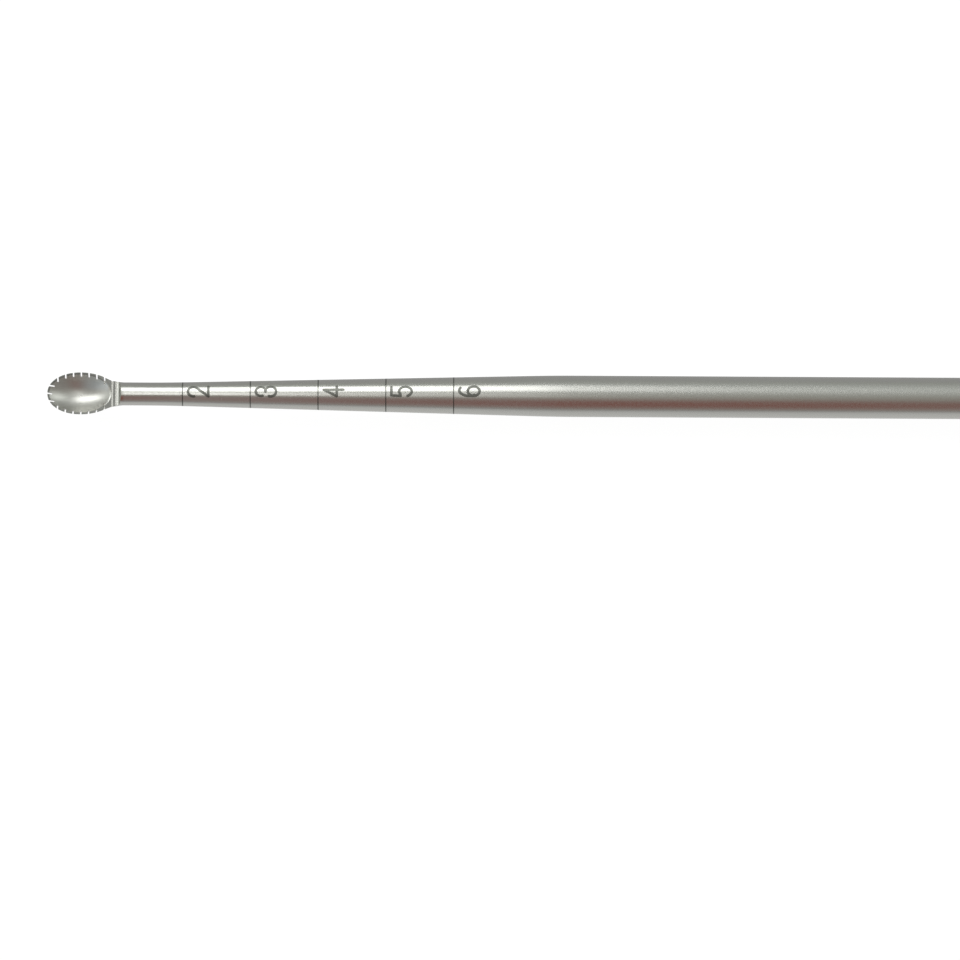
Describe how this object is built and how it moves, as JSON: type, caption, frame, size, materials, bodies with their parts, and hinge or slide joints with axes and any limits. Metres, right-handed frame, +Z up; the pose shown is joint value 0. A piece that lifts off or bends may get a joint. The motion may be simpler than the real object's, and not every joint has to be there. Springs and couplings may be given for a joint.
{
  "type": "serrated cup curette",
  "caption": "One-piece steel curette: an oval cup with a saw-cut rim on a slim neck, a long tapered shaft and a plain hexagonal handle.",
  "frame": {"origin": "on the ground, under the middle of the curette's length, straight below the shaft's axis", "axes": "+X along the shaft from the cup to the handle, +Z up, the way that the cup opens"},
  "size_m": [0.254, 0.0112, 0.01],
  "materials": {
    "satin_steel": "satin",
    "laser_mark": "matte"
  },
  "bodies": {
    "root": {"curette": "satin_steel"}
  },
  "joints": []
}
